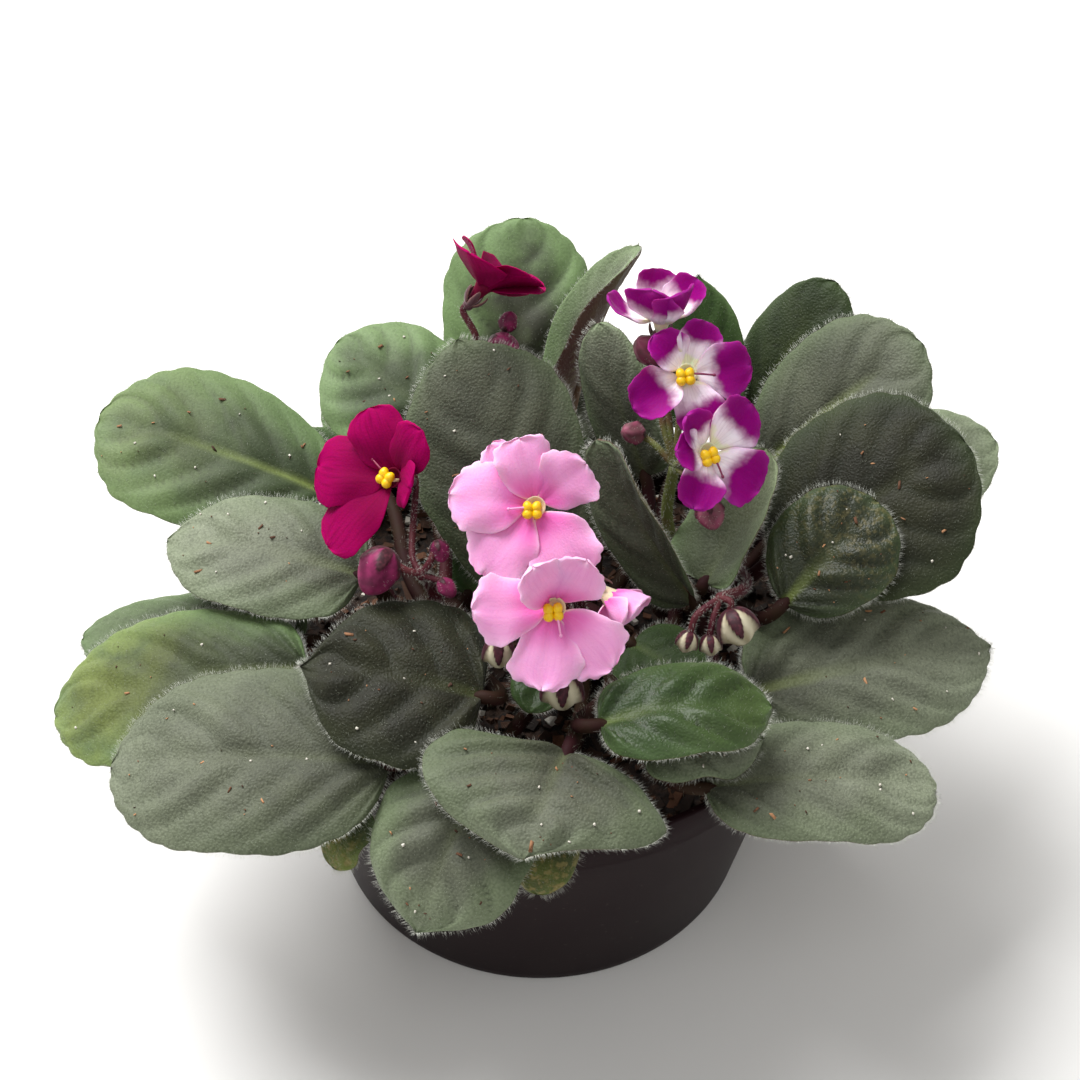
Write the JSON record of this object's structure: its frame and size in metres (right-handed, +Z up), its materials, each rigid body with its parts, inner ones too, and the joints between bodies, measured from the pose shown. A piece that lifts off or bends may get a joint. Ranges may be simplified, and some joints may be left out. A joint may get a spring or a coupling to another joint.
{
  "type": "potted african violet",
  "caption": "African violets in a round nursery pot: hairy leaves fan out over the rim, with crimson, pink and two-toned blooms on short stalks above them.",
  "frame": {"origin": "centre of the pot's flat underside, on the surface it stands on", "axes": "+Z up along the pot's axis; -Y towards the front, the side with the pink blooms; +X to the right seen from the front"},
  "size_m": [0.2108, 0.1775, 0.1407],
  "materials": {
    "pot": "black moulded plastic, satin, lightly dusty",
    "soil": "composted bark and peat, rough",
    "crown": "short green and brown plant stem, matte",
    "leaf": "thick hairy leaf, soft matte",
    "petal_crimson": "crimson petal, velvety",
    "petal_pink": "pink petal, velvety",
    "petal_bicolour": "magenta petal with a white edge and centre, velvety",
    "anther": "yellow pollen sac, matte",
    "flower_stalk": "maroon hairy flower stalk, bud and calyx, matte"
  },
  "bodies": {
    "root": {"anthers_bicolour_lower": "anther", "anthers_bicolour_middle": "anther", "anthers_crimson_front": "anther", "anthers_pink_lower": "anther", "anthers_pink_upper": "anther", "bloom_bicolour_lower": "petal_bicolour", "bloom_bicolour_middle": "petal_bicolour", "bloom_bicolour_top": "petal_bicolour", "bloom_crimson_back": "petal_crimson", "bloom_crimson_front": "petal_crimson", "bloom_pink_lower": "petal_pink", "bloom_pink_side": "petal_pink", "bloom_pink_upper": "petal_pink", "crown_bicolour": "crown", "crown_crimson": "crown", "crown_pink": "crown", "leaf_back_folded": "leaf", "leaf_back_left": "leaf", "leaf_back_light": "leaf", "leaf_back_narrow": "leaf", "leaf_back_pointed": "leaf", "leaf_back_right": "leaf", "leaf_back_small": "leaf", "leaf_centre_rolled": "leaf", "leaf_centre_upright": "leaf", "leaf_centre_young": "leaf", "leaf_front_bright": "leaf", "leaf_front_broad": "leaf", "leaf_front_hanging": "leaf", "leaf_front_inner": "leaf", "leaf_front_olive": "leaf", "leaf_front_torn": "leaf", "leaf_front_under": "leaf", "leaf_left_back": "leaf", "leaf_left_front": "leaf", "leaf_left_inner": "leaf", "leaf_left_low": "leaf", "leaf_left_middle": "leaf", "leaf_left_yellow": "leaf", "leaf_rear_left": "leaf", "leaf_rear_middle": "leaf", "leaf_rear_right": "leaf", "leaf_right_cupped": "leaf", "leaf_right_dark": "leaf", "leaf_right_far": "leaf", "leaf_right_folded": "leaf", "leaf_right_front": "leaf", "leaf_right_inner": "leaf", "leaf_right_low": "leaf", "leaf_right_upper": "leaf", "pot": "pot", "soil": "soil", "spray_bicolour": "flower_stalk", "spray_crimson_back": "flower_stalk", "spray_crimson_front": "flower_stalk", "spray_pink": "flower_stalk", "spray_right": "flower_stalk"}
  },
  "joints": []
}
